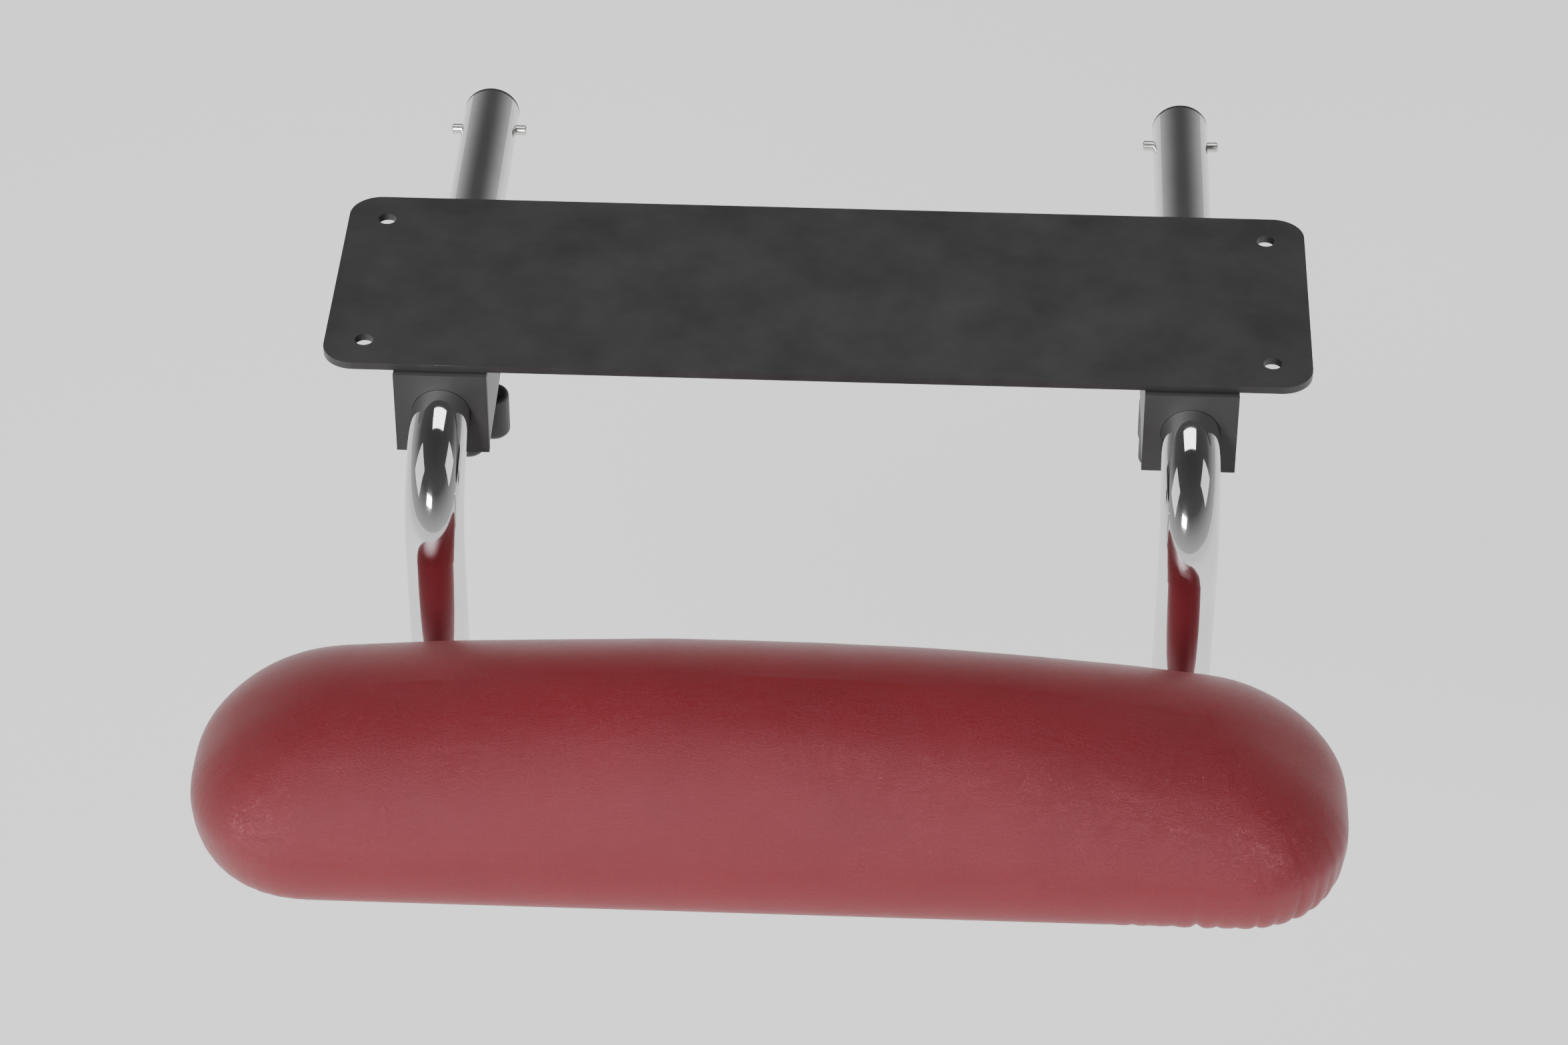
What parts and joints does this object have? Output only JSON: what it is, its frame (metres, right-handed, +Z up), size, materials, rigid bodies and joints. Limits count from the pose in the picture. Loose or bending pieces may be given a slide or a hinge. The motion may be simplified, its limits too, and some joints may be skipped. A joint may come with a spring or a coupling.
{
  "type": "hanging arm-rest bolster pad",
  "caption": "Rounded vinyl-covered bolster pad hung on two cranked chromed tubes that slide in a clamped receiver under a treatment table.",
  "frame": {"origin": "centre of the receiver plate's four-hole pattern, on its top face, which bolts up against the table's underside", "axes": "+Z up, out of the plate's top face; X along the pad; -Y outwards from the table, the way the arm-rest slides out"},
  "size_m": [0.422, 0.373, 0.1532],
  "materials": {
    "red_vinyl": "soft semi-gloss upholstery vinyl with a fine pebbled grain",
    "soft_foam": "open-cell polyurethane foam",
    "firm_foam": "bonded crumb foam",
    "plywood": "raw sanded plywood",
    "black_lining": "non-woven dust cloth",
    "staple_wire": "galvanised wire",
    "zinc_steel": "bright zinc plate",
    "white_nylon": "moulded nylon",
    "black_nylon": "moulded nylon",
    "black_plastic": "fine moulded texture",
    "chrome": "bright chrome plate",
    "black_steel": "black powder coat",
    "brass": "turned brass"
  },
  "bodies": {
    "receiver": {"mounting_plate": "black_steel", "socket_tube_left": "black_steel", "front_bush_left": "black_nylon", "rear_bush_left": "black_nylon", "weld_nut_left": "zinc_steel", "socket_tube_right": "black_steel", "front_bush_right": "black_nylon", "rear_bush_right": "black_nylon", "weld_nut_right": "zinc_steel"},
    "arm": {"vinyl_cover": "red_vinyl", "soft_foam": "soft_foam", "firm_foam": "firm_foam", "base_board": "plywood", "underside_lining": "black_lining", "cover_staples": "staple_wire", "lining_staples": "staple_wire", "pad_screws": "zinc_steel", "tee_nuts": "zinc_steel", "tube_saddles": "white_nylon", "arm_tube_left": "chrome", "lower_plug_left": "black_plastic", "upper_plug_left": "black_plastic", "stop_pin_left": "zinc_steel", "arm_tube_right": "chrome", "lower_plug_right": "black_plastic", "upper_plug_right": "black_plastic", "stop_pin_right": "zinc_steel"},
    "clamp_shoe_left": {"clamp_shoe_left": "brass"},
    "clamp_knob_left": {"clamp_bolt_left": "zinc_steel", "clamp_knob_left": "black_plastic", "knob_cap_left": "black_plastic"},
    "clamp_shoe_right": {"clamp_shoe_right": "brass"},
    "clamp_knob_right": {"clamp_bolt_right": "zinc_steel", "clamp_knob_right": "black_plastic", "knob_cap_right": "black_plastic"}
  },
  "joints": [
    {"name": "armrest_slide", "type": "slide", "parent": "receiver", "child": "arm", "axis": [0, -1, 0], "range_m": [0, 0.075]},
    {"name": "clamp_travel_left", "type": "slide", "parent": "receiver", "child": "clamp_shoe_left", "axis": [0, 0, -1], "range_m": [0, 0.00125]},
    {"name": "clamp_turn_left", "type": "hinge", "parent": "clamp_shoe_left", "child": "clamp_knob_left", "pos_m": [-0.14, 0, -0.06], "axis": [0, 0, -1], "range_deg": [0, 360]},
    {"name": "clamp_travel_right", "type": "slide", "parent": "receiver", "child": "clamp_shoe_right", "axis": [0, 0, -1], "range_m": [0, 0.00125]},
    {"name": "clamp_turn_right", "type": "hinge", "parent": "clamp_shoe_right", "child": "clamp_knob_right", "pos_m": [0.14, 0, -0.06], "axis": [0, 0, -1], "range_deg": [0, 360]}
  ],
  "couplings": [
    {"joint": "clamp_turn_left", "follows": "clamp_travel_left", "rad_per_m": 5026.5},
    {"joint": "clamp_turn_right", "follows": "clamp_travel_right", "rad_per_m": 5026.5}
  ]
}
